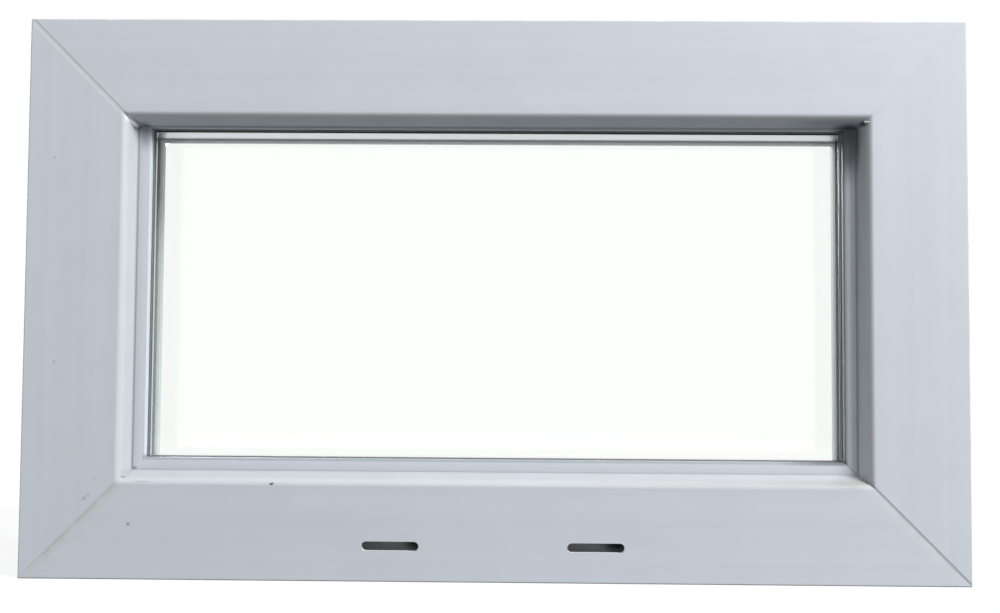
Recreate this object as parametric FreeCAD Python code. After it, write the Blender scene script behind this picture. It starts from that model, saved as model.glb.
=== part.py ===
import FreeCAD, Part
import math
import os

# Fixed basement window of welded PVC-U frame members with an insulating glass unit.
# X runs along the width, Y from the weather side to the room side, Z up.
# The origin is the middle of the underside. All sizes are millimetres.

# Whole window
window_width = 500.0
window_height = 298.0
frame_depth = 60.0

# Frame section, seen from the weather side: flat face, nose, lip set back
face_width = 51.6
nose_width = 4.7
nose_depth = 8.2
nose_radius = 3.4
lip_reach = 6.8
head_lip_reach = 0.8
lip_fall = 0.4
lip_thickness = 3.4
lip_radius = 0.9
rebate_depth = 19.1
corner_radius = 0.8
inner_radius = 0.4

# Walls and chambers of the frame section
outer_wall = 2.8
inner_web = 1.8
rear_chamber_width = 11.4

# Shallow channel along the outer edge, with undercut sides for clip-on profiles
channel_foot = 9.0
channel_depth = 2.4
channel_undercut = 1.0

# Drain slots in the sill, outer ones through the face, inner ones through the rebate floor
slot_length = 30.0
slot_height = 5.0
slot_rise = 18.5
slot_spacing = 108.0
inner_slot_length = 25.0
inner_slot_width = 4.0
inner_slot_spacing = 200.0
inner_slot_setback = 0.8

# Insulating glass unit
pane_thickness = 4.0
cavity_width = 16.0
glass_clearance = 3.0
seal_cover = 4.0
spacer_height = 6.5
spacer_wall = 0.5

# Gaskets, with a foot in a groove of the lip or bead
gasket_thickness = 3.5
gasket_show = 1.2
gasket_heel = 1.2
gasket_taper = 0.8
gasket_radius = 0.6
foot_width = 2.4
foot_depth = 1.8
foot_offset = 5.2
foot_clearance = 0.1

# Room side glazing beads, held by a leg in a groove of the rebate floor
bead_setback = 0.6
bead_drop = 5.0
bead_side = 6.0
bead_shoulder = 2.6
bead_radius = 1.6
bead_wall = 1.6
leg_thickness = 3.6
leg_length = 4.4
leg_clearance = 0.15
leg_wall = 3.0

# Blocks that carry and centre the glass unit
block_width = 26.0
setting_block_length = 60.0
setting_block_inset = 50.0
location_block_length = 40.0

# Places worked out from the sizes above: u counts inwards from the outer edge,
# v counts back from the weather face
crease_u = face_width + nose_width
sight_u = crease_u + lip_reach
head_sight_u = crease_u + head_lip_reach
bead_sight_u = sight_u - bead_drop
rebate_floor = sight_u - rebate_depth
lip_step = sight_u - head_sight_u
lip_back_v = nose_depth + lip_fall + lip_thickness
glass_front_v = lip_back_v + gasket_thickness
glass_back_v = glass_front_v + 2 * pane_thickness + cavity_width
bead_front_v = glass_back_v + gasket_thickness
bead_back_v = frame_depth - bead_setback
glass_edge_u = rebate_floor + glass_clearance
leg_groove_back_v = frame_depth - leg_wall
leg_groove_front_v = leg_groove_back_v - leg_thickness - 2 * leg_clearance
leg_groove_floor_u = rebate_floor - leg_length - leg_clearance
chamber_floor_u = channel_depth + outer_wall
chamber_top_u = rebate_floor - outer_wall
front_chamber_back_v = lip_back_v + inner_slot_setback + inner_slot_width + inner_radius
rear_chamber_back_v = frame_depth - outer_wall
rear_chamber_front_v = rear_chamber_back_v - rear_chamber_width


def outline(corners):
    # Closed outline through (u, v, radius) corners, in the plane x = 0 of a sill member
    points = [FreeCAD.Vector(0, v - frame_depth / 2, u) for u, v, radius in corners]
    stretches = []
    for place, (u, v, radius) in enumerate(corners):
        here = points[place]
        to_last = (points[place - 1] - here).normalize()
        to_next = (points[(place + 1) % len(points)] - here).normalize()
        if radius == 0:
            stretches.append((here, here, here))
            continue
        half_angle = to_last.getAngle(to_next) / 2
        reach = radius / math.tan(half_angle)
        inward = (to_last + to_next).normalize()
        middle = here + inward * (radius / math.sin(half_angle) - radius)
        stretches.append((here + to_last * reach, middle, here + to_next * reach))
    edges = []
    for place, (start, middle, end) in enumerate(stretches):
        if start != end:
            edges.append(Part.Arc(start, middle, end).toShape())
        following = stretches[(place + 1) % len(stretches)][0]
        edges.append(Part.LineSegment(end, following).toShape())
    return Part.Wire(edges)


def section(outer, holes=()):
    # Face of an extruded section, with its chambers cut out
    face = Part.Face(outline(outer))
    for hole in holes:
        face = face.cut(Part.Face(outline(hole)))
    return face


def frame_section(reach):
    member_sight_u = crease_u + reach
    lip_front_v = nose_depth + lip_fall * reach / lip_reach
    arris_radius = min(lip_radius, reach / 2)
    nose_slope = nose_width / nose_depth
    nose_wall_u = outer_wall * math.hypot(1, nose_slope)
    nose_chamber_back_v = lip_back_v - outer_wall
    mouth_front_v = channel_foot
    mouth_back_v = frame_depth - channel_foot
    outer = [
        (0, 0, corner_radius),
        (face_width, 0, nose_radius),
        (crease_u, nose_depth, inner_radius),
        (member_sight_u, lip_front_v, arris_radius),
        (member_sight_u, lip_back_v, inner_radius),
        (rebate_floor, lip_back_v, inner_radius),
        (rebate_floor, leg_groove_front_v, 0),
        (leg_groove_floor_u, leg_groove_front_v, 0),
        (leg_groove_floor_u, leg_groove_back_v, 0),
        (rebate_floor, leg_groove_back_v, 0),
        (rebate_floor, frame_depth, corner_radius),
        (0, frame_depth, corner_radius),
        (0, mouth_back_v, 0),
        (channel_depth, mouth_back_v + channel_undercut, 0),
        (channel_depth, mouth_front_v - channel_undercut, 0),
        (0, mouth_front_v, 0),
    ]
    front_chamber = [
        (chamber_floor_u, outer_wall, inner_radius),
        (chamber_top_u, outer_wall, inner_radius),
        (chamber_top_u, front_chamber_back_v, inner_radius),
        (chamber_floor_u, front_chamber_back_v, inner_radius),
    ]
    nose_chamber = [
        (chamber_top_u + inner_web, outer_wall, inner_radius),
        (face_width + outer_wall * nose_slope - nose_wall_u, outer_wall, inner_radius),
        (face_width + nose_chamber_back_v * nose_slope - nose_wall_u, nose_chamber_back_v, inner_radius),
        (chamber_top_u + inner_web, nose_chamber_back_v, inner_radius),
    ]
    main_chamber = [
        (chamber_floor_u, front_chamber_back_v + inner_web, inner_radius),
        (chamber_top_u, front_chamber_back_v + inner_web, inner_radius),
        (chamber_top_u, rear_chamber_front_v - inner_web, inner_radius),
        (chamber_floor_u, rear_chamber_front_v - inner_web, inner_radius),
    ]
    rear_chamber = [
        (chamber_floor_u, rear_chamber_front_v, inner_radius),
        (chamber_top_u, rear_chamber_front_v, inner_radius),
        (chamber_top_u, leg_groove_front_v - outer_wall, inner_radius),
        (leg_groove_floor_u - outer_wall, leg_groove_front_v - outer_wall, inner_radius),
        (leg_groove_floor_u - outer_wall, rear_chamber_back_v, inner_radius),
        (chamber_floor_u, rear_chamber_back_v, inner_radius),
    ]
    return section(outer, [front_chamber, nose_chamber, main_chamber, rear_chamber])


def foot_groove(edge_u):
    # The groove for a gasket's foot lies the same way in from the edge of each lip and bead
    far_u = edge_u - foot_offset + foot_width / 2 + foot_clearance
    near_u = far_u - foot_width - 2 * foot_clearance
    return near_u, far_u


def lip_groove_section():
    near_u, far_u = foot_groove(sight_u)
    floor_v = lip_back_v - foot_depth - foot_clearance
    return section([(near_u, floor_v, 0), (far_u, floor_v, 0),
                    (far_u, lip_back_v, 0), (near_u, lip_back_v, 0)])


def gasket_section(seat_v, glass_v, edge_u):
    # From its seat on the lip or bead to the glass, with its foot behind the seat
    away = 1 if seat_v > glass_v else -1
    near_u, far_u = foot_groove(edge_u)
    heel_u = near_u - gasket_heel
    tip_u = edge_u + gasket_show
    return section([
        (near_u + foot_clearance, seat_v, 0),
        (near_u + foot_clearance, seat_v + away * foot_depth, 0),
        (far_u - foot_clearance, seat_v + away * foot_depth, 0),
        (far_u - foot_clearance, seat_v, 0),
        (tip_u, seat_v, gasket_radius),
        (tip_u - gasket_taper, glass_v, gasket_radius),
        (heel_u + gasket_taper, glass_v, 0),
        (heel_u, seat_v, 0),
    ])


def bead_section():
    groove_near_u, groove_far_u = foot_groove(bead_sight_u)
    groove_floor_v = bead_front_v + foot_depth + foot_clearance
    side_end_v = bead_front_v + bead_side
    shoulder_u = rebate_floor + bead_shoulder
    leg_back_v = leg_groove_back_v - leg_clearance
    leg_front_v = leg_back_v - leg_thickness
    fall = (bead_back_v - side_end_v) / (bead_sight_u - shoulder_u)
    wall_v = bead_wall * math.hypot(1, fall)
    chamber_near_u = rebate_floor + bead_wall
    chamber_far_u = groove_near_u - bead_wall
    outer = [
        (rebate_floor, bead_front_v, inner_radius),
        (groove_near_u, bead_front_v, 0),
        (groove_near_u, groove_floor_v, 0),
        (groove_far_u, groove_floor_v, 0),
        (groove_far_u, bead_front_v, 0),
        (bead_sight_u, bead_front_v, inner_radius),
        (bead_sight_u, side_end_v, bead_radius),
        (shoulder_u, bead_back_v, corner_radius),
        (rebate_floor, bead_back_v, inner_radius),
        (rebate_floor, leg_back_v, 0),
        (rebate_floor - leg_length, leg_back_v, 0),
        (rebate_floor - leg_length, leg_front_v, 0),
        (rebate_floor, leg_front_v, 0),
    ]
    chamber = [
        (chamber_near_u, bead_front_v + bead_wall, 0),
        (chamber_far_u, bead_front_v + bead_wall, 0),
        (chamber_far_u, side_end_v + fall * (bead_sight_u - chamber_far_u) - wall_v, 0),
        (shoulder_u, bead_back_v - wall_v, 0),
        (chamber_near_u, bead_back_v - wall_v, 0),
    ]
    return section(outer, [chamber])


def spacer_section():
    near_u = glass_edge_u + seal_cover
    far_u = near_u + spacer_height
    front_v = glass_front_v + pane_thickness
    back_v = front_v + cavity_width
    tube = [(near_u, front_v, 0), (far_u, front_v, 0), (far_u, back_v, 0), (near_u, back_v, 0)]
    hollow = [
        (near_u + spacer_wall, front_v + spacer_wall, 0),
        (far_u - spacer_wall, front_v + spacer_wall, 0),
        (far_u - spacer_wall, back_v - spacer_wall, 0),
        (near_u + spacer_wall, back_v - spacer_wall, 0),
    ]
    return section(tube, [hollow])


def mitred_length(face, side_length, start_reach, end_reach):
    # One extruded length lying as the sill does, cut at 45 degrees from the outer corners.
    # Past its reach an end is cut square, where it butts against a shorter lip.
    full_reach = face.BoundBox.ZMax
    half = side_length / 2
    blank = face.copy()
    blank.translate(FreeCAD.Vector(-half, 0, 0))
    blank = blank.extrude(FreeCAD.Vector(side_length, 0, 0))
    corners = [(-half, 0), (half, 0), (half - end_reach, end_reach)]
    if end_reach < full_reach:
        corners.append((half - end_reach, full_reach))
    if start_reach < full_reach:
        corners.append((start_reach - half, full_reach))
    corners += [(start_reach - half, start_reach), (-half, 0)]
    mitres = Part.Face(Part.makePolygon([FreeCAD.Vector(x, -frame_depth, z) for x, z in corners]))
    return blank.common(mitres.extrude(FreeCAD.Vector(0, 2 * frame_depth, 0)))


def around(face, head_face=None, head_lift=0):
    # The four lengths of one section, keyed by the side of the window. The head can have a
    # section of its own, or lie higher where it follows the edge of the head's short lip.
    full_reach = face.BoundBox.ZMax
    head_reach = min(full_reach, head_face.BoundBox.ZMax) if head_face else full_reach
    half_width = window_width / 2
    height = window_height + head_lift
    sill = mitred_length(face, window_width, full_reach, full_reach)
    head = sill
    if head_face:
        head = mitred_length(head_face, window_width, head_face.BoundBox.ZMax, head_face.BoundBox.ZMax)
    left = mitred_length(face, height, head_reach, full_reach)
    right = mitred_length(face, height, full_reach, head_reach)
    sides = {
        "sill": (sill, 0, FreeCAD.Vector(0, 0, 0)),
        "head": (head, 180, FreeCAD.Vector(0, 0, height)),
        "left": (left, 90, FreeCAD.Vector(-half_width, 0, height / 2)),
        "right": (right, -90, FreeCAD.Vector(half_width, 0, height / 2)),
    }
    lengths = {}
    for side, (length, turn, place) in sides.items():
        piece = length.copy()
        piece.rotate(FreeCAD.Vector(0, 0, 0), FreeCAD.Vector(0, 1, 0), turn)
        piece.translate(place)
        lengths[side] = piece
    return lengths


def box(low_x, high_x, low_v, high_v, low_z, high_z):
    corner = FreeCAD.Vector(low_x, low_v - frame_depth / 2, low_z)
    return Part.makeBox(high_x - low_x, high_v - low_v, high_z - low_z, corner)


def drain_slot(centre_x):
    # Round-ended slot through the weather wall of the sill
    radius = slot_height / 2
    half_run = slot_length / 2 - radius
    low_v = -outer_wall
    high_v = 2 * outer_wall
    tool = box(centre_x - half_run, centre_x + half_run, low_v, high_v,
               slot_rise - radius, slot_rise + radius)
    for end_x in (centre_x - half_run, centre_x + half_run):
        start = FreeCAD.Vector(end_x, low_v - frame_depth / 2, slot_rise)
        tool = tool.fuse(Part.makeCylinder(radius, high_v - low_v, start, FreeCAD.Vector(0, 1, 0)))
    return tool.removeSplitter()


def inner_drain_slot(centre_x):
    # Slot through the rebate floor into the front chamber, just behind the lip
    low_v = lip_back_v + inner_slot_setback
    return box(centre_x - inner_slot_length / 2, centre_x + inner_slot_length / 2,
               low_v, low_v + inner_slot_width,
               chamber_top_u - outer_wall, rebate_floor + outer_wall)


def frame_members():
    members = around(frame_section(lip_reach), frame_section(head_lip_reach))
    grooves = Part.makeCompound(list(around(lip_groove_section(), head_lift=lip_step).values()))
    for side, member in members.items():
        members[side] = member.cut(grooves)
    for side in (-1, 1):
        members["sill"] = members["sill"].cut(drain_slot(side * slot_spacing / 2))
        members["sill"] = members["sill"].cut(inner_drain_slot(side * inner_slot_spacing / 2))
    return {
        "frame_sill": members["sill"],
        "frame_head": members["head"],
        "frame_jamb_left": members["left"],
        "frame_jamb_right": members["right"],
    }


def glass_slab(front_v, thickness, inset_u):
    # Upright slab that lies the same way in from all four outer edges
    half = window_width / 2 - inset_u
    return box(-half, half, front_v, front_v + thickness, inset_u, window_height - inset_u)


def glass_unit():
    cavity_v = glass_front_v + pane_thickness
    seal = glass_slab(cavity_v, cavity_width, glass_edge_u)
    return {
        "pane_outer": glass_slab(glass_front_v, pane_thickness, glass_edge_u),
        "pane_inner": glass_slab(cavity_v + cavity_width, pane_thickness, glass_edge_u),
        "edge_seal": seal.cut(glass_slab(cavity_v, cavity_width, glass_edge_u + seal_cover)),
    }


def glazing_blocks():
    middle_v = (glass_front_v + glass_back_v) / 2
    low_v = middle_v - block_width / 2
    high_v = middle_v + block_width / 2
    block_x = window_width / 2 - glass_edge_u - setting_block_inset
    middle_z = window_height / 2
    half_block = location_block_length / 2
    blocks = {}
    for name, side in (("left", -1), ("right", 1)):
        x = side * block_x
        blocks["setting_block_" + name] = box(
            x - setting_block_length / 2, x + setting_block_length / 2, low_v, high_v,
            rebate_floor, glass_edge_u)
        blocks["location_block_head_" + name] = box(
            x - half_block, x + half_block, low_v, high_v,
            window_height - glass_edge_u, window_height - rebate_floor)
        outer_x = side * (window_width / 2 - rebate_floor)
        inner_x = side * (window_width / 2 - glass_edge_u)
        blocks["location_block_jamb_" + name] = box(
            min(outer_x, inner_x), max(outer_x, inner_x), low_v, high_v,
            middle_z - half_block, middle_z + half_block)
    return blocks


def named(prefix, lengths):
    return {prefix + "_" + side: piece for side, piece in lengths.items()}


def window():
    pieces = frame_members()
    pieces.update(glass_unit())
    pieces.update(named("spacer", around(spacer_section())))
    outer_gasket = gasket_section(lip_back_v, glass_front_v, sight_u)
    inner_gasket = gasket_section(bead_front_v, glass_back_v, bead_sight_u)
    pieces.update(named("gasket_outer", around(outer_gasket, head_lift=lip_step)))
    pieces.update(named("gasket_inner", around(inner_gasket)))
    pieces.update(named("bead", around(bead_section())))
    pieces.update(glazing_blocks())
    return pieces


os.makedirs("parts", exist_ok=True)
for node, shape in window().items():
    solid = shape.Solids[0]
    solid.exportStep("parts/" + node + ".step")
    print(node, len(shape.Solids), shape.isValid(), round(shape.Volume / 1000, 2), "cm3")
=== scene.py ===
import math

import bmesh
import bpy
from mathutils import Matrix, Vector


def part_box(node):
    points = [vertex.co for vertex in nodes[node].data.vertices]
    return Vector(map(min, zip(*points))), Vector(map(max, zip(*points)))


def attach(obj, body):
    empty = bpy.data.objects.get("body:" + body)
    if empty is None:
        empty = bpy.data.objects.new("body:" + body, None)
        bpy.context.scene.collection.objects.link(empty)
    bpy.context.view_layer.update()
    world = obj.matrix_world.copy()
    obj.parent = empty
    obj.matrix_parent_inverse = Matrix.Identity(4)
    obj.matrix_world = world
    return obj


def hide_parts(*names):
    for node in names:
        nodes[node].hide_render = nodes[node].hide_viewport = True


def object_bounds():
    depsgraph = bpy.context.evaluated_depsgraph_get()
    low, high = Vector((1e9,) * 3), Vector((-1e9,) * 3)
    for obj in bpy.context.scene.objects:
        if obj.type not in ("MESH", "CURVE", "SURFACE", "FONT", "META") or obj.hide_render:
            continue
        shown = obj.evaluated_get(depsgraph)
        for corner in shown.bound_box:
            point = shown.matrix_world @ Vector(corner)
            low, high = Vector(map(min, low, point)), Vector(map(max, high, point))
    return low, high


# Looks of a small fixed basement window: welded white PVC-U frame, gaskets, insulating glass.
# Metres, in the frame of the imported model. X is to the right, Y to the room side, Z up.

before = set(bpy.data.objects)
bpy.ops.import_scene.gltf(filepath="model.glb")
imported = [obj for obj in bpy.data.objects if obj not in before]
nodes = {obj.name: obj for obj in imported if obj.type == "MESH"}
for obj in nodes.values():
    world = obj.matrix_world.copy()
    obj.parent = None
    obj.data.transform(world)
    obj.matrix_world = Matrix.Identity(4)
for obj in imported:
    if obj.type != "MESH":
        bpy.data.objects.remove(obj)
cad_low, cad_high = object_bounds()

MM = 0.001

# Whole window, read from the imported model
window_width = cad_high.x - cad_low.x
window_height = cad_high.z
front_y = cad_low.y
back_y = cad_high.y

# Frame section on the weather side. u runs in from the outer edge, v back from the flat face.
# The face ends at the nose, the slope at the crease, and the lip, apart from the head's shorter
# one, at lip_u. Points up to skin_depth behind this skin move with a groove.
nose_u = 51.6 * MM
crease_u = 56.3 * MM
crease_v = 8.2 * MM
lip_u = 63.1 * MM
skin_depth = 1.2 * MM

# Corners: which way lies the middle of the window, in x and z
CORNERS = {
    "head_left": (1, -1),
    "head_right": (-1, -1),
    "sill_left": (1, 1),
    "sill_right": (-1, 1),
}

# Cleaned welds on the weather face. First the wall on the head or sill, then the one on the
# jamb: how far from the mitre its rim and its foot lie. Last, how deep the floor between lies.
WELD_GROOVES = {
    "head_left": ((1.5 * MM, 0.6 * MM), (2.1 * MM, 0.2 * MM), 0.15 * MM),
    "head_right": ((0.6 * MM, 0.2 * MM), (0.6 * MM, 0.2 * MM), 0.04 * MM),
    "sill_left": ((0.5 * MM, 0.1 * MM), (0.5 * MM, 0.1 * MM), 0.08 * MM),
    "sill_right": ((6.0 * MM, 0.1 * MM), (1.1 * MM, 0.15 * MM), 0.28 * MM),
}
# The same for the lip at the bottom right, the room side, and the mitres of the beads
LIP_WELD_GROOVE = ((0.45 * MM, 0.1 * MM), (0.45 * MM, 0.1 * MM), 0.4 * MM)
ROOM_SIDE_GROOVE = ((1.5 * MM, 1.0 * MM), (1.5 * MM, 1.0 * MM), 0.15 * MM)
BEAD_MITRE = ((0.3 * MM, 0.0), (0.3 * MM, 0.0), 0.25 * MM)

# Melted plastic left on the mitres of the nose: where its middle lies, in from the two outer
# edges and behind the face, half its length, width and thickness, and which way it runs
WELD_LUMPS = {
    "head_left": ((53.8 * MM, 54.6 * MM, 4.8 * MM), (4.3 * MM, 1.4 * MM, 1.6 * MM), (5.0, 3.8, 4.3)),
    "head_right": ((51.9 * MM, 53.6 * MM, 1.6 * MM), (2.4 * MM, 0.6 * MM, 1.1 * MM), (1, 0, 0.1)),
    "sill_left": ((53.3 * MM, 53.3 * MM, 3.1 * MM), (1.5 * MM, 0.4 * MM, 0.5 * MM), (1, 0.3, 0.1)),
}

# How far a lump's thin side leans out of the face, and how far its edges are rounded, as a share
# of half its least size and in so many steps
lump_lean = 1.2
lump_rounding = 0.6
lump_segments = 5

# Melted plastic that rounds the inner corner between the slopes and the lip: its radius. It is
# sunk a little into the frame and narrows towards its top, which lies on the mitre of the slope.
CREASE_FILLETS = {"head_left": 3.0 * MM, "sill_left": 1.2 * MM}
fillet_sunk = 0.25 * MM
fillet_steps = 8
fillet_top_u = crease_u - 2.0 * MM
fillet_top_v = crease_v - 3.2 * MM
fillet_top_share = 0.25

# Colours of the white plastic, of the dirt on it, and of the painted shade and painted light on it
PVC_WHITE = "#ced5dd"
DIRT_AND_SHADE_DARK = "#3c3f4c"
PAINTED_SHADE_BLACK = "#101214"
BROWN_DIRT = "#8a7468"
EDGE_DIRT = "#8a7d70"
CREASE_PAINTED_SHADE = "#434c57"
PAINTED_SHADE_GREY = "#5d656e"
SLOPE_GRIME_AND_SHADE = "#7d7a72"
SLOPE_DUST_AND_SHADE = "#8b8880"
CORNER_PAINTED_SHADE = "#4f5864"
YELLOWED = "#bdbdae"
WELD_GREY = "#8d8f8c"
RUBBED = "#b8b1a8"
PAINTED_LIGHT_WHITE = "#f2f4f6"

# Specks, scuffs and dirt of the frame, and painted shade, painted shadow and painted light,
# in mm and degrees: place as x, z and how far behind the face, reach along x, z and y, turn,
# strength and colour
MARKS = [
    ((-116.7, 50.6, 0.0), (1.5, 0.8, 3), -15, 0.95, DIRT_AND_SHADE_DARK),
    ((-192.1, 29.0, 0.0), (1.2, 1.1, 3), 0, 0.5, DIRT_AND_SHADE_DARK),
    ((-233.2, 114.1, 0.0), (0.6, 1.0, 3), 0, 0.35, DIRT_AND_SHADE_DARK),
    ((-235.5, 223.0, 0.0), (0.5, 1.1, 3), 0, 0.3, DIRT_AND_SHADE_DARK),
    ((-215.6, 42.2, 0.0), (1.9, 1.1, 3), -35, 0.3, DIRT_AND_SHADE_DARK),
    ((-213.4, 44.2, 0.0), (1.3, 0.7, 3), -40, 0.22, DIRT_AND_SHADE_DARK),
    ((-210.4, 52.4, 0.0), (0.8, 1.2, 3), 0, 0.18, DIRT_AND_SHADE_DARK),
    ((-185.5, 51.2, 0.0), (5.5, 0.6, 3), 0, 0.3, BROWN_DIRT),
    ((-196.2, 53.3, 3.0), (1.9, 0.5, 3), 6, 0.4, DIRT_AND_SHADE_DARK),
    # Painted shade that dims the highlight on the sill slope beside the bottom right weld
    ((187.5, 53.2, 2.4), (11, 4.5, 7), 0, 0.24, SLOPE_DUST_AND_SHADE),
    ((196.0, 53.6, 3.0), (1.4, 0.7, 2), 15, 0.35, DIRT_AND_SHADE_DARK),
    # Painted shade in the inner corner of the lip at the bottom left
    ((-192.3, 57.4, 8.2), (1.7, 1.1, 2), -20, 0.5, DIRT_AND_SHADE_DARK),
    # Painted highlight on the melted plastic at the top left weld
    ((-196.0, 243.4, 3.0), (4.6, 1.5, 4), 40, 0.9, PAINTED_LIGHT_WHITE),
    # Painted shadow of the head on the top of the left lip
    ((-190.0, 242.0, 10.0), (4.5, 14, 6), 0, 0.62, CORNER_PAINTED_SHADE),
    # Painted shade, near black, in the top right corner of the slope and lip
    ((196.9, 243.8, 4.4), (3.0, 2.2, 4), 0, 0.9, PAINTED_SHADE_BLACK),
    ((190.2, 239.0, 9.0), (5, 8, 3), 0, 0.8, PAINTED_SHADE_BLACK),
    ((189.5, 237.0, 8.5), (10, 25, 5), 0, 0.9, PAINTED_SHADE_BLACK),
    # Painted shadow in the right part of each drain slot
    ((-41.0, 18.5, 17.0), (9, 6, 14), 0, 0.96, PAINTED_SHADE_BLACK),
    ((67.0, 18.5, 17.0), (9, 6, 14), 0, 1.0, PAINTED_SHADE_BLACK),
]

MEMBERS = {
    "sill": ("frame_sill", "welded_sill", ("sill_left", "sill_right")),
    "head": ("frame_head", "welded_head", ("head_left", "head_right")),
    "left": ("frame_jamb_left", "welded_jamb_left", ("sill_left", "head_left")),
    "right": ("frame_jamb_right", "welded_jamb_right", ("sill_right", "head_right")),
}

# Gaskets: how far the seen edge is drawn back, how deep that rounded edge is, the gap left to
# the glass, and what counts as touching it
outer_trim = 0.5 * MM
inner_trim = 0.4 * MM
lip_rounding = 0.65 * MM
glass_gap = 0.03 * MM
touching = 0.001 * MM

# Breathing holes of the spacer bars
hole_radius = 0.35 * MM
hole_pitch = 1.1 * MM
hole_row_offset = 5.0 * MM

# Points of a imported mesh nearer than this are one, cuts this near to a point go through it, and
# a point this near to the foot of a groove is on it
same_point = 0.002 * MM
cut_tolerance = 1e-8
foot_tolerance = 1e-6

# The camera's place, how the window is turned before it in degrees, its sensor and lens in mm,
# and how near it sees
CAMERA_PLACE = (0.00872, -0.55807, 0.12377)
WINDOW_TURN = (-2.275, 0.628, 0.369)
sensor_width = 36.0
lens = 36.0
clip_start = 10 * MM

# Round soft boxes: place and width in metres, power in watts. The first stands to the upper
# right in front, near enough that the far corner is a little dimmer. The second, weaker one
# lights the room side.
LAMPS = {
    "soft_box": ((2.0, -1.3, 2.15), 1.1, 121),
    "room_side_soft_box": ((-1.5, 2.3, 1.2), 1.4, 54),
}

# Sky as it lights the window, and the floor: half its width, the share of plain white in it
# near the window, and the distances from the middle between which that share grows to 1
sky_strength = 0.46
floor_half = 6.0
floor_white_share = 0.78
floor_white_from = 0.8 * window_width
floor_white_to = 1.8 * window_width

collection = bpy.context.scene.collection


# Small helpers. Sockets that share a name on their node go by number: Map Range has its value at
# 0, the range it comes from at 1 and 2, and the range it goes to at 3 and 4. Mix has its factor
# at 0, its colours at 6 and 7, and the mixed colour at output 2.

def linear(hex_colour):
    # sRGB hex to a linear colour with alpha 1
    parts = [int(hex_colour[i:i + 2], 16) / 255 for i in (1, 3, 5)]
    return [p / 12.92 if p <= 0.04045 else ((p + 0.055) / 1.055) ** 2.4 for p in parts] + [1.0]


def add_node(tree, kind, inputs=None, **settings):
    # One node with its settings, its fixed values and its links
    made = tree.nodes.new("ShaderNode" + kind)
    for name, value in settings.items():
        setattr(made, name, value)
    for socket, value in (inputs or {}).items():
        if isinstance(value, bpy.types.NodeSocket):
            tree.links.new(value, made.inputs[socket])
        else:
            made.inputs[socket].default_value = value
    return made


def link_object(name, data):
    made = bpy.data.objects.new(name, data)
    collection.objects.link(made)
    return made


def new_material(name):
    material = bpy.data.materials.new(name)
    material.use_nodes = True
    tree = material.node_tree
    tree.nodes.clear()
    return material, tree


def finish_material(tree, shader):
    add_node(tree, "OutputMaterial", {"Surface": shader.outputs[0]})


def corner_point(corner, u, v):
    # The point of a corner's mitre that lies u in from both outer edges and v behind the face
    inward_x, inward_z = CORNERS[corner]
    edge_x = -inward_x * window_width / 2
    edge_z = 0 if inward_z > 0 else window_height
    return Vector((edge_x + inward_x * u, front_y + v, edge_z + inward_z * u))


def new_piece(name, bm, material, sharp_angle=30):
    # A piece of the window, shaded smooth apart from edges past the sharp angle
    for edge in bm.edges:
        if len(edge.link_faces) == 2 and edge.calc_face_angle(0) > math.radians(sharp_angle):
            edge.smooth = False
    for face in bm.faces:
        face.smooth = True
    mesh = bpy.data.meshes.new(name)
    bm.to_mesh(mesh)
    bm.free()
    mesh.materials.append(material)
    piece = link_object(name, mesh)
    flat = piece.modifiers.new("flat_faces_stay_flat", "WEIGHTED_NORMAL")
    flat.keep_sharp = True
    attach(piece, "root")
    return piece


def merged_copy(node_name):
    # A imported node's mesh with its loose triangles joined
    bm = bmesh.new()
    bm.from_mesh(nodes[node_name].data)
    bmesh.ops.remove_doubles(bm, verts=bm.verts, dist=same_point)
    return bm


# Materials

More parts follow.
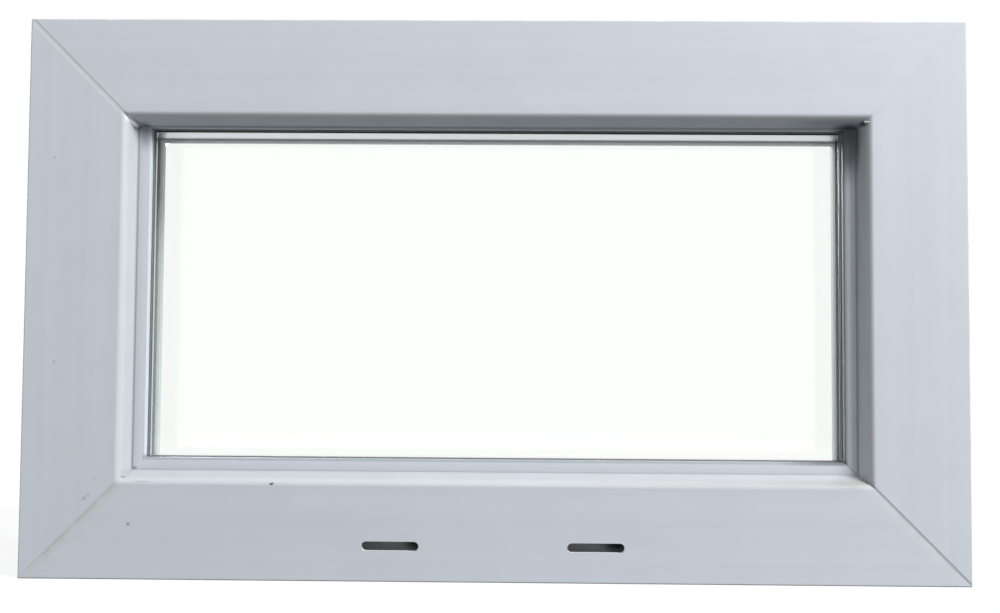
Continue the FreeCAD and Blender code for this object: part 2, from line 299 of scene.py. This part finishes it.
def pvc(name, colour, welded):
    # White extruded PVC-U: satin, with faint bands and lines along the bar where it left the
    # die, and a breath of dust. The welded frame is worn too: yellowed patches beside the
    # mitres, grime on the slopes, rubbed and dirty outer edges, a few specks and scuffs. On it
    # is also painted shade: in the creases, on the slopes, on the sill's nose, at the lips' edges
    # by the glass, in the corners and in the drain slots. There is painted light inside the
    # chambers and a painted highlight on one weld.
    band_width = 9 * MM
    die_line_width = 1.1 * MM
    dust_patch = 22 * MM
    material, tree = new_material(name)
    place = add_node(tree, "TexCoord").outputs["Object"]
    xyz = add_node(tree, "SeparateXYZ", {0: place})
    from_middle = add_node(tree, "Math", {0: xyz.outputs["X"]}, operation="ABSOLUTE")
    across = add_node(tree, "Math", {0: window_width / 2, 1: from_middle.outputs[0]},
                      operation="SUBTRACT")
    above = add_node(tree, "Math", {0: xyz.outputs["Z"], 1: window_height / 2},
                     operation="SUBTRACT")
    above_middle = add_node(tree, "Math", {0: above.outputs[0]}, operation="ABSOLUTE")
    upward = add_node(tree, "Math", {0: window_height / 2, 1: above_middle.outputs[0]},
                      operation="SUBTRACT")
    inwards = add_node(tree, "Math", {0: across.outputs[0], 1: upward.outputs[0]},
                       operation="MINIMUM")
    bands = add_node(tree, "TexNoise", {
        "W": inwards.outputs[0], "Scale": 1 / band_width, "Detail": 1.0}, noise_dimensions="1D")
    die_lines = add_node(tree, "TexNoise", {
        "W": inwards.outputs[0], "Scale": 1 / die_line_width, "Detail": 2.0}, noise_dimensions="1D")
    dust = add_node(tree, "TexNoise", {"Vector": place, "Scale": 1 / dust_patch, "Detail": 4.0})
    band_tone = add_node(tree, "MapRange", {0: bands.outputs[0], 1: 0.3, 2: 0.7, 3: 0.975, 4: 1.015})
    dust_tone = add_node(tree, "MapRange", {0: dust.outputs[0], 1: 0.3, 2: 0.7, 3: 0.98, 4: 1.01})
    tone = add_node(tree, "Math", {0: band_tone.outputs[0], 1: dust_tone.outputs[0]},
                    operation="MULTIPLY")
    shade = add_node(tree, "Mix", {6: linear(colour), 7: tone.outputs[0], 0: 1.0},
                     data_type="RGBA", blend_type="MULTIPLY")
    colour_out = shade.outputs[2]
    if welded:
        for amount, over in weather_side_wear_and_shade(tree, place, xyz, across, upward, inwards):
            layer = add_node(tree, "Mix", {0: amount, 6: colour_out, 7: linear(over)},
                             data_type="RGBA")
            colour_out = layer.outputs[2]
    bump = add_node(tree, "Bump", {
        "Height": die_lines.outputs[0], "Strength": 0.25, "Distance": 0.02 * MM})
    surface = add_node(tree, "BsdfPrincipled", {
        "Base Color": colour_out, "Roughness": 0.48, "IOR": 1.53, "Normal": bump.outputs[0]})
    finish_material(tree, surface)
    return material


def weather_side_wear_and_shade(tree, place, xyz, across, upward, inwards):
    # Pairs of an amount and the colour that it lays over the white
    x, y, z = [xyz.outputs[axis] for axis in "XYZ"]
    inset_u = inwards.outputs[0]
    wear_patch = 12 * MM
    patches = add_node(tree, "TexNoise", {"Vector": place, "Scale": 1 / wear_patch, "Detail": 2.0})
    patch = patches.outputs[0]
    lower, upper = 0.4 * window_height, 0.6 * window_height

    # How far a point lies from four lines: the seam that the welds were cleaned along, which
    # runs a little beside the mitre at the sill, a wavering one on the mitre, the nose and the
    # crease
    off_mitre = add_node(tree, "Math", {0: across.outputs[0], 1: upward.outputs[0]},
                         operation="SUBTRACT")
    seam_shift = add_node(tree, "MapRange", {0: z, 1: lower, 2: upper, 3: 1.8 * MM, 4: 0.0})
    wobble = add_node(tree, "MapRange", {0: patch, 1: 0.3, 2: 0.7, 3: -0.5 * MM, 4: 0.5 * MM})
    gaps = {}
    for name, measured, line in (("seam", off_mitre.outputs[0], seam_shift.outputs[0]),
                                 ("mitre line", off_mitre.outputs[0], wobble.outputs[0]),
                                 ("nose", inset_u, nose_u + 0.2 * MM),
                                 ("crease", inset_u, crease_u + 0.2 * MM)):
        off_line = add_node(tree, "Math", {0: measured, 1: line}, operation="SUBTRACT")
        gap = add_node(tree, "Math", {0: off_line.outputs[0]}, operation="ABSOLUTE")
        gaps[name] = gap.outputs[0]

    # Each row of steps is multiplied together: value, from, to, amount at from, amount at to
    slope = [(inset_u, nose_u + 0.2 * MM, nose_u + 2.0 * MM, 0.0, 1.0),
             (inset_u, crease_u - 0.3 * MM, crease_u, 1.0, 0.0)]
    right_side = (x, 0.3 * window_width, 0.35 * window_width, 0.0, 1.0)
    left_crease = crease_u - window_width / 2
    layers = {
        # Painted light: the insides of the chambers, seen through the drain slots, are paler than
        # the face
        "painted light in chambers": (PAINTED_LIGHT_WHITE, [
            (inset_u, 2.5 * MM, 3 * MM, 0.0, 1.0),
            (inset_u, nose_u - 4 * MM, nose_u - 3 * MM, 1.0, 0.0),
            (y, front_y + 1.4 * MM, front_y + 2 * MM, 0.0, 1.0),
            (y, back_y - 3 * MM, back_y - 2 * MM, 1.0, 0.0)]),
        "yellowed weld": (YELLOWED, [
            (gaps["seam"], 0.4 * MM, 4.0 * MM, 0.42, 0.0),
            (patch, 0.42, 0.62, 0.15, 1.0),
            (x, -0.1 * window_width, 0.1 * window_width, 1.0, 0.35),
            (z, lower, upper, 1.0, 0.4),
            (inset_u, nose_u - 2 * MM, nose_u, 1.0, 0.0)]),
        "weld line": (WELD_GREY, [
            (gaps["mitre line"], 0.15 * MM, 0.8 * MM, 0.4, 0.0),
            (patch, 0.35, 0.65, 0.3, 1.0),
            (inset_u, nose_u - 1 * MM, nose_u, 1.0, 0.0),
            (z, lower, upper, 1.0, 0.2)]),
        # Grime with painted shade on all four slopes
        "slope grime and painted shade": (SLOPE_GRIME_AND_SHADE, [(patch, 0.3, 0.7, 0.10, 0.16)] + slope),
        # Painted shade in a dusty tone on the lit slopes of the sill and the left jamb
        "painted shade on the sill slope": (SLOPE_DUST_AND_SHADE, [(z, crease_u, crease_u + 1.5 * MM, 0.24, 0.0)] + slope),
        "painted shade on the left slope": (SLOPE_DUST_AND_SHADE, [(x, left_crease, left_crease + 1.5 * MM, 0.2, 0.0)] + slope),
        # Painted shade on the right slope, darker towards the top
        "painted shade on the right slope": (PAINTED_SHADE_GREY, [
            right_side, (z, 0.25 * window_height, 0.85 * window_height, 0.0, 0.36)] + slope),
        "rubbed nose": (RUBBED, [(gaps["nose"], 0.3 * MM, 1.7 * MM, 0.28, 0.0)]),
        "crease shade": (PAINTED_SHADE_GREY, [
            (inset_u, crease_u - 0.6 * MM, crease_u, 0.0, 0.2),
            (inset_u, crease_u, crease_u + 5 * MM, 1.0, 0.0)]),
        # Painted shade: a dark line along the crease, faint where it runs along the sill
        "painted shade line in the crease": (CREASE_PAINTED_SHADE, [
            (gaps["crease"], 0.15 * MM, 0.75 * MM, 0.55, 0.0),
            (z, crease_u - 0.2 * MM, crease_u + 1.5 * MM, 0.05, 1.0)]),
        # Painted shade that dims the highlight on the right half of the sill's nose
        "painted shade on the sill nose": (SLOPE_DUST_AND_SHADE, [
            (inset_u, nose_u - 1.7 * MM, nose_u - 0.4 * MM, 0.0, 0.4),
            (inset_u, nose_u + 0.6 * MM, nose_u + 3.3 * MM, 1.0, 0.1),
            (x, 0.05 * window_width, 0.36 * window_width, 0.0, 1.0),
            (z, nose_u + 2 * MM, nose_u + 4 * MM, 1.0, 0.0)]),
        # Painted shade along the edges of the right and sill lips by the glass
        "painted shade at the right lip edge": (DIRT_AND_SHADE_DARK, [
            (inset_u, lip_u - 2.4 * MM, lip_u - 0.3 * MM, 0.0, 0.72),
            right_side]),
        "painted shade at the sill lip edge": (DIRT_AND_SHADE_DARK, [
            (inset_u, lip_u - 1.7 * MM, lip_u - 0.3 * MM, 0.0, 0.5),
            (z, lip_u + 0.5 * MM, lip_u + 2 * MM, 1.0, 0.0)]),
        "outer edge": (EDGE_DIRT, [
            (inset_u, 0.1 * MM, 0.8 * MM, 0.6, 0.0),
            (y, front_y + 0.2 * MM, front_y + 0.9 * MM, 1.0, 0.0),
            (patch, 0.35, 0.6, 0.3, 1.0)]),
    }
    for colour, steps in layers.values():
        amount = 1.0
        for value, low, high, at_low, at_high in steps:
            step = add_node(tree, "MapRange", {0: value, 1: low, 2: high, 3: at_low, 4: at_high})
            product = add_node(tree, "Math", {0: amount, 1: step.outputs[0]}, operation="MULTIPLY")
            amount = product.outputs[0]
        yield amount, colour

    # A mark is full up to full_share of its reach and gone at gone_share of it
    full_share = 0.3
    gone_share = 1.2
    for (mark_x, mark_z, behind), (reach_x, reach_z, reach_y), turn, strength, colour in MARKS:
        spot = add_node(tree, "Mapping", {
            "Vector": place, "Location": (mark_x * MM, front_y + behind * MM, mark_z * MM),
            "Rotation": (0, math.radians(turn), 0),
            "Scale": (reach_x * MM, reach_y * MM, reach_z * MM)}, vector_type="TEXTURE")
        distance = add_node(tree, "VectorMath", {0: spot.outputs[0]}, operation="LENGTH")
        amount = add_node(tree, "MapRange", {
            0: distance.outputs["Value"], 1: full_share, 2: gone_share, 3: strength, 4: 0.0},
            interpolation_type="SMOOTHSTEP")
        yield amount.outputs[0], colour


def rubber(name, colour, dusty_colour):
    # Extruded gasket rubber: matt and finely grained, slightly paler where dust holds
    dust_patch = 5 * MM
    grain_size = 0.3 * MM
    material, tree = new_material(name)
    place = add_node(tree, "TexCoord").outputs["Object"]
    dust = add_node(tree, "TexNoise", {"Vector": place, "Scale": 1 / dust_patch, "Detail": 3.0})
    shade = add_node(tree, "Mix", {0: dust.outputs[0], 6: linear(colour), 7: linear(dusty_colour)},
                     data_type="RGBA")
    grain = add_node(tree, "TexNoise", {"Vector": place, "Scale": 1 / grain_size})
    bump = add_node(tree, "Bump", {
        "Height": grain.outputs[0], "Strength": 0.2, "Distance": 0.03 * MM})
    surface = add_node(tree, "BsdfPrincipled", {
        "Base Color": shade.outputs[2], "Roughness": 0.6, "IOR": 1.5, "Normal": bump.outputs[0]})
    finish_material(tree, surface)
    return material


def float_glass():
    # Clear float glass: sharp reflections, a trace of green. Light passes on to what lies behind
    material, tree = new_material("float_glass_clear")
    path = add_node(tree, "LightPath")
    light_only = add_node(tree, "Math", {
        0: path.outputs["Is Shadow Ray"], 1: path.outputs["Is Diffuse Ray"]}, operation="MAXIMUM")
    glass = add_node(tree, "BsdfPrincipled", {
        "Base Color": linear("#fefffe"), "Roughness": 0.0, "IOR": 1.52,
        "Transmission Weight": 1.0})
    passed = add_node(tree, "BsdfTransparent", {"Color": linear("#f8faf9")})
    surface = add_node(tree, "MixShader", {
        0: light_only.outputs[0], 1: glass.outputs[0], 2: passed.outputs[0]})
    finish_material(tree, surface)
    return material


def aluminium():
    # Roll-formed aluminium strip: bright, slightly streaked, with two rows of fine breathing holes,
    # painted as dark dots: painted shade inside the holes
    streak_size = 0.8 * MM
    material, tree = new_material("aluminium_roll_formed")
    place = add_node(tree, "TexCoord").outputs["Object"]
    rolled = add_node(tree, "TexNoise", {"Vector": place, "Scale": 1 / streak_size, "Detail": 2.0})
    rough = add_node(tree, "MapRange", {0: rolled.outputs[0], 3: 0.28, 4: 0.42})
    xyz = add_node(tree, "SeparateXYZ", {0: place})
    low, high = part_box("spacer_head")
    middle_y = (low[1] + high[1]) / 2
    from_middle = add_node(tree, "Math", {0: xyz.outputs["Y"], 1: middle_y},
                           operation="SUBTRACT")
    beside = add_node(tree, "Math", {0: from_middle.outputs[0]}, operation="ABSOLUTE")
    off_row = add_node(tree, "Math", {0: beside.outputs[0], 1: hole_row_offset},
                       operation="SUBTRACT")
    along = add_node(tree, "Math", {0: xyz.outputs["X"], 1: xyz.outputs["Z"]}, operation="ADD")
    off_hole = add_node(tree, "Math", {0: along.outputs[0], 1: hole_pitch}, operation="PINGPONG")
    reach = add_node(tree, "CombineXYZ", {0: off_row.outputs[0], 1: off_hole.outputs[0]})
    distance = add_node(tree, "VectorMath", {0: reach.outputs[0]}, operation="LENGTH")
    hole = add_node(tree, "MapRange", {
        0: distance.outputs["Value"], 1: 0.8 * hole_radius, 2: hole_radius, 3: 1.0, 4: 0.0})
    shade = add_node(tree, "Mix", {0: hole.outputs[0], 6: linear("#dcdee0"), 7: linear("#3a3b3d")},
                     data_type="RGBA")
    surface = add_node(tree, "BsdfPrincipled", {
        "Base Color": shade.outputs[2], "Metallic": 1.0, "Roughness": rough.outputs[0]})
    finish_material(tree, surface)
    return material


def sealant():
    # Polysulphide edge seal: dull dark grey, with the shallow waves that a trowel leaves
    stroke_width = 3 * MM
    material, tree = new_material("polysulphide_trowelled")
    place = add_node(tree, "TexCoord").outputs["Object"]
    strokes = add_node(tree, "TexNoise", {"Vector": place, "Scale": 1 / stroke_width, "Detail": 3.0})
    bump = add_node(tree, "Bump", {
        "Height": strokes.outputs[0], "Strength": 0.5, "Distance": 0.3 * MM})
    surface = add_node(tree, "BsdfPrincipled", {
        "Base Color": linear("#2c2d30"), "Roughness": 0.75, "Normal": bump.outputs[0]})
    finish_material(tree, surface)
    return material


def moulded_plastic():
    # Injection moulded polypropylene packers: plain blue and waxy, with gloss that varies as
    # the melt flowed
    flow_size = 12 * MM
    material, tree = new_material("polypropylene_moulded_blue")
    place = add_node(tree, "TexCoord").outputs["Object"]
    flow = add_node(tree, "TexNoise", {"Vector": place, "Scale": 1 / flow_size})
    rough = add_node(tree, "MapRange", {0: flow.outputs[0], 3: 0.4, 4: 0.5})
    surface = add_node(tree, "BsdfPrincipled", {
        "Base Color": linear("#3d6fa8"), "Roughness": rough.outputs[0], "IOR": 1.49})
    finish_material(tree, surface)
    return material


# Frame members with their weld grooves

def skin_v(u):
    # How far behind the face the weather skin lies, u in from the outer edge
    if u <= nose_u:
        return 0.0
    if u <= crease_u:
        return crease_v * (u - nose_u) / (crease_u - nose_u)
    return crease_v


def inset(corner, point):
    # How far a point lies in from the two outer edges at a corner: across and upward
    inward_x, inward_z = CORNERS[corner]
    outer = corner_point(corner, 0, 0)
    return (point.x - outer.x) * inward_x, (point.z - outer.z) * inward_z


def groove_mitre(bm, corner, walls, from_u, to_u, front=True):
    # Sinks the skin beside the mitre, with a loop of edges at the rim and foot of each wall
    bar_wall, jamb_wall, depth = walls
    inward_x, inward_z = CORNERS[corner]
    middle = corner_point(corner, 0, 0)
    to_bar = Vector((inward_x, 0, -inward_z)).normalized()
    for away, wall in ((to_bar, bar_wall), (-to_bar, jamb_wall)):
        for distance in wall:
            if distance > 0:
                bmesh.ops.bisect_plane(
                    bm, geom=bm.verts[:] + bm.edges[:] + bm.faces[:], dist=cut_tolerance,
                    plane_co=middle + away * distance, plane_no=away)
    for vert in bm.verts:
        across, upward = inset(corner, vert.co)
        u = min(across, upward)
        foot = bar_wall[1] if across > upward else jamb_wall[1]
        from_mitre = abs(across - upward) / math.sqrt(2)
        if from_mitre > foot + foot_tolerance or not from_u <= u <= to_u:
            continue
        if front and vert.co.y - front_y < skin_v(u) + skin_depth:
            vert.co.y += depth
        elif not front and vert.co.y > back_y - skin_depth:
            vert.co.y -= depth


def welded_member(node_name, piece_name, corners, material):
    # Head, sill or jamb with its welds on both sides, and on the lip at the bottom right
    bm = merged_copy(node_name)
    for corner in corners:
        groove_mitre(bm, corner, WELD_GROOVES[corner], 0, nose_u + 0.5 * MM)
        groove_mitre(bm, corner, ROOM_SIDE_GROOVE, 0, lip_u, front=False)
        if corner == "sill_right":
            groove_mitre(bm, corner, LIP_WELD_GROOVE, crease_u - 0.2 * MM, lip_u + 0.1 * MM)
    piece = new_piece(piece_name, bm, material, sharp_angle=7)
    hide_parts(node_name)


def weld_lump(corner, material):
    # Rounded lump along its run, its thin side towards the opening and out of the face
    (across, upward, behind), reach, run = WELD_LUMPS[corner]
    inward_x, inward_z = CORNERS[corner]
    along = Vector((run[0] * inward_x, run[1], run[2] * inward_z)).normalized()
    shown = Vector((inward_x, -lump_lean, inward_z))
    shown = (shown - along * along.dot(shown)).normalized()
    turn = Matrix((along, shown.cross(along), shown)).transposed()
    bm = bmesh.new()
    bmesh.ops.create_cube(bm, size=2.0)
    bmesh.ops.scale(bm, verts=bm.verts, vec=reach)
    bmesh.ops.bevel(bm, geom=bm.edges[:], offset=lump_rounding * min(reach), affect="EDGES",
                    segments=lump_segments, profile=0.5, material=-1)
    bmesh.ops.rotate(bm, verts=bm.verts, matrix=turn)
    middle = corner_point(corner, 0, behind) + Vector((across * inward_x, 0, upward * inward_z))
    bmesh.ops.translate(bm, verts=bm.verts, vec=middle)
    bmesh.ops.recalc_face_normals(bm, faces=bm.faces)
    new_piece("weld_lump_" + corner, bm, material, sharp_angle=60)


def crease_fillet(corner, material):
    # A concave quarter circle on the lip, drawn up to a small copy of itself on the slopes
    radius = CREASE_FILLETS[corner]
    inward_x, inward_z = CORNERS[corner]
    corner_at = corner_point(corner, crease_u - fillet_sunk, crease_v + fillet_sunk)
    centre = corner_at + Vector((inward_x * radius, 0, inward_z * radius))
    bm = bmesh.new()
    start = bm.verts.new(corner_at + Vector((inward_x * radius, 0, 0)))
    quarter = math.radians(90) * inward_x * inward_z
    bmesh.ops.spin(bm, geom=[start], cent=centre, axis=(0, 1, 0), angle=-quarter,
                   steps=fillet_steps)
    bm.verts.new(corner_at)
    bmesh.ops.contextual_create(bm, geom=bm.verts[:])
    top = corner_point(corner, fillet_top_u, fillet_top_v)
    grown = bmesh.ops.extrude_face_region(bm, geom=bm.faces[:])
    upper = [g for g in grown["geom"] if isinstance(g, bmesh.types.BMVert)]
    shrink = (Matrix.Translation(top) @ Matrix.Scale(fillet_top_share, 4)
              @ Matrix.Translation(-corner_at))
    bmesh.ops.transform(bm, matrix=shrink, verts=upper)
    bmesh.ops.recalc_face_normals(bm, faces=bm.faces)
    new_piece("crease_fillet_" + corner, bm, material, sharp_angle=40)


def glazing_bead(side, corners, material):
    # Room side bead with fine lines where it meets its neighbours
    bm = merged_copy("bead_" + side)
    for corner in corners:
        groove_mitre(bm, corner, BEAD_MITRE, 0, lip_u, front=False)
    piece = new_piece("glazing_bead_" + side, bm, material, sharp_angle=20)
    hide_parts("bead_" + side)


def pressed_gasket(node_name, material, trim):
    # Gasket as it sits when pressed: its seen edge drawn back by trim, and the side at the glass
    # a hair off the pane, so that both show cleanly
    bm = merged_copy(node_name)
    outer_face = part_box("pane_outer")[0][1]
    inner_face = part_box("pane_inner")[1][1]
    seen_edge = min(abs(vert.co.x) for vert in bm.verts)
    for vert in bm.verts:
        if abs(vert.co.x) < seen_edge + lip_rounding:
            vert.co.x += math.copysign(trim, vert.co.x)
            vert.co.z += math.copysign(trim, vert.co.z - window_height / 2)
        if abs(vert.co.y - outer_face) < touching:
            vert.co.y -= glass_gap
        if abs(vert.co.y - inner_face) < touching:
            vert.co.y += glass_gap
    piece = new_piece("pressed_" + node_name, bm, material)
    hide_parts(node_name)


# Camera and light

def make_camera():
    # The window's turn before the camera gives the camera's own axes
    camera = link_object("camera", bpy.data.cameras.new("camera"))
    camera.data.sensor_width = sensor_width
    camera.data.lens = lens
    camera.data.clip_start = clip_start
    about_x, about_y, about_z = [math.radians(angle) for angle in WINDOW_TURN]
    turn = (Matrix.Rotation(about_z, 3, "Z") @ Matrix.Rotation(about_y, 3, "Y")
            @ Matrix.Rotation(about_x, 3, "X"))
    right, down, ahead = [Vector((row[0], row[2], -row[1])) for row in turn]
    rotation = Matrix((right, -down, -ahead)).transposed().to_4x4()
    camera.matrix_world = Matrix.Translation(CAMERA_PLACE) @ rotation
    bpy.context.scene.camera = camera


def make_light(name, place, width, power):
    # A round soft box that looks at the middle of the window
    lamp_data = bpy.data.lights.new(name, "AREA")
    lamp_data.shape = "DISK"
    lamp_data.size = width
    lamp_data.energy = power
    lamp = link_object(name, lamp_data)
    ahead = Vector((0, 0, window_height / 2)) - Vector(place)
    turn = ahead.to_track_quat("-Z", "Y").to_matrix().to_4x4()
    lamp.matrix_world = Matrix.Translation(place) @ turn


def seen_share(tree):
    # 1 where the camera, a mirror or glass sees the surface, 0 where it only gives light
    path = add_node(tree, "LightPath")
    share = path.outputs["Is Camera Ray"]
    for ray in ("Is Glossy Ray", "Is Transmission Ray"):
        either = add_node(tree, "Math", {0: share, 1: path.outputs[ray]}, operation="MAXIMUM")
        share = either.outputs[0]
    return share


def make_world():
    # Dim, even sky for the object, plain white where the camera, a mirror or glass sees it
    world = bpy.data.worlds.new("studio")
    bpy.context.scene.world = world
    world.use_nodes = True
    tree = world.node_tree
    tree.nodes.clear()
    level = add_node(tree, "MapRange", {0: seen_share(tree), 3: sky_strength, 4: 1.0})
    sky = add_node(tree, "Background", {"Color": (1, 1, 1, 1), "Strength": level.outputs[0]})
    add_node(tree, "OutputWorld", {"Surface": sky.outputs[0]})


def make_floor():
    # Pale floor. To the eye it runs out into plain white, and keeps the shadow near the window.
    material, tree = new_material("pale_floor")
    place = add_node(tree, "TexCoord").outputs["Object"]
    reach = add_node(tree, "VectorMath", {0: place}, operation="LENGTH")
    white_share = add_node(tree, "MapRange", {
        0: reach.outputs["Value"], 1: floor_white_from, 2: floor_white_to,
        3: floor_white_share, 4: 1.0})
    bounce = add_node(tree, "BsdfDiffuse", {"Color": linear("#707070")})
    lit = add_node(tree, "BsdfDiffuse", {"Color": linear("#fafafa")})
    white = add_node(tree, "Emission", {"Color": (1, 1, 1, 1), "Strength": 1.0})
    shown = add_node(tree, "MixShader", {
        0: white_share.outputs[0], 1: lit.outputs[0], 2: white.outputs[0]})
    surface = add_node(tree, "MixShader", {
        0: seen_share(tree), 1: bounce.outputs[0], 2: shown.outputs[0]})
    finish_material(tree, surface)
    bm = bmesh.new()
    bmesh.ops.create_grid(bm, x_segments=1, y_segments=1, size=floor_half)
    mesh = bpy.data.meshes.new("floor")
    bm.to_mesh(mesh)
    bm.free()
    mesh.materials.append(material)
    floor = link_object("floor", mesh)


# The window

frame_pvc = pvc("pvc_u_extruded_white", PVC_WHITE, welded=True)
bead_pvc = pvc("pvc_u_bead_white", PVC_WHITE, welded=False)
outer_rubber = rubber("epdm_extruded_grey", "#5a5e62", "#6c7073")
bead_rubber = rubber("tpe_soft_lip_light_grey", "#b4b8bb", "#c0c3c5")
blocks_plastic = moulded_plastic()
NODE_MATERIALS = {
    "pane": float_glass(),
    "spacer": aluminium(),
    "edge_seal": sealant(),
    "setting_block": blocks_plastic,
    "location_block": blocks_plastic,
}

for side, (node_name, piece_name, corners) in MEMBERS.items():
    welded_member(node_name, piece_name, corners, frame_pvc)
    glazing_bead(side, corners, bead_pvc)
    pressed_gasket("gasket_outer_" + side, outer_rubber, outer_trim)
    pressed_gasket("gasket_inner_" + side, bead_rubber, inner_trim)
for corner in WELD_LUMPS:
    weld_lump(corner, frame_pvc)
for corner in CREASE_FILLETS:
    crease_fillet(corner, frame_pvc)
for node_name, obj in nodes.items():
    for prefix, material in NODE_MATERIALS.items():
        if node_name.startswith(prefix):
            obj.data.materials.clear()
            obj.data.materials.append(material)

make_camera()
for name, (place, width, power) in LAMPS.items():
    make_light(name, place, width, power)
make_world()
make_floor()
bpy.context.scene.view_settings.view_transform = "Standard"
